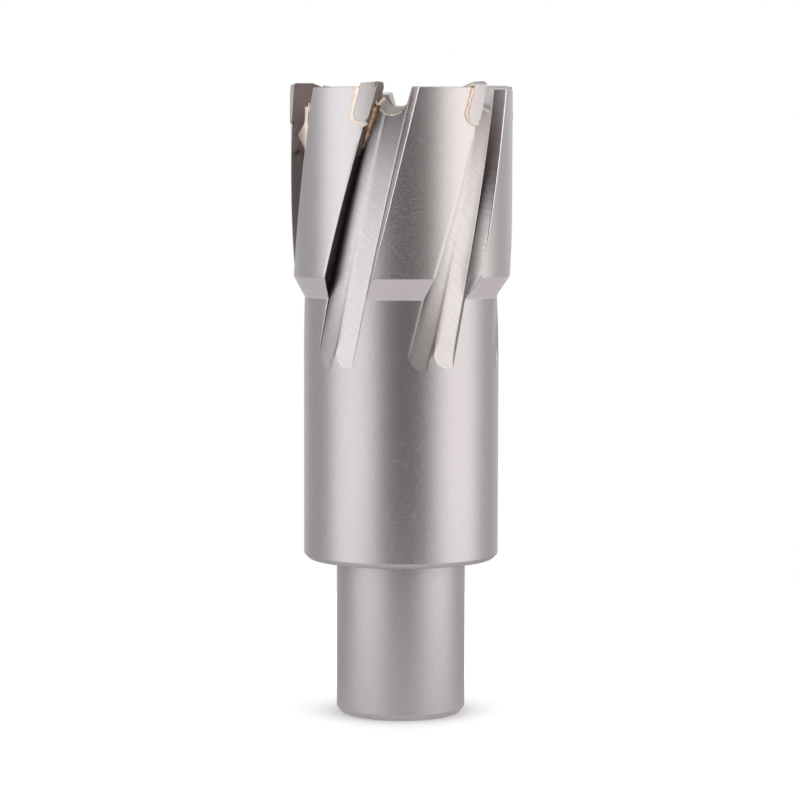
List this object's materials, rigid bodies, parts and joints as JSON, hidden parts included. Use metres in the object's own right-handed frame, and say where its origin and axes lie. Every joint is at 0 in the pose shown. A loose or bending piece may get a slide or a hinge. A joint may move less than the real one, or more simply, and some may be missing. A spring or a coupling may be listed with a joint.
{
  "type": "annular cutter",
  "caption": "Hollow cutter for drilling holes in steel plate: plain round shank, fluted cutting ring with brazed tips round its rim, and a bore for a pilot pin.",
  "frame": {"origin": "centre of the shank's flat end face", "axes": "+Z along the cutter's axis from the shank to the teeth, -Y towards the side seen in the picture, +X to its right"},
  "size_m": [0.0328, 0.0326, 0.0932],
  "materials": {
    "steel": "satin ground and milled steel",
    "carbide": "ground tungsten carbide",
    "braze": "pale silver-brass braze"
  },
  "bodies": {
    "root": {"cutter_body": "steel", "carbide_tip_1": "carbide", "carbide_tip_2": "carbide", "carbide_tip_3": "carbide", "carbide_tip_4": "carbide", "carbide_tip_5": "carbide", "carbide_tip_6": "carbide", "braze_joint_1": "braze", "braze_joint_2": "braze", "braze_joint_3": "braze", "braze_joint_4": "braze", "braze_joint_5": "braze", "braze_joint_6": "braze"}
  },
  "joints": []
}
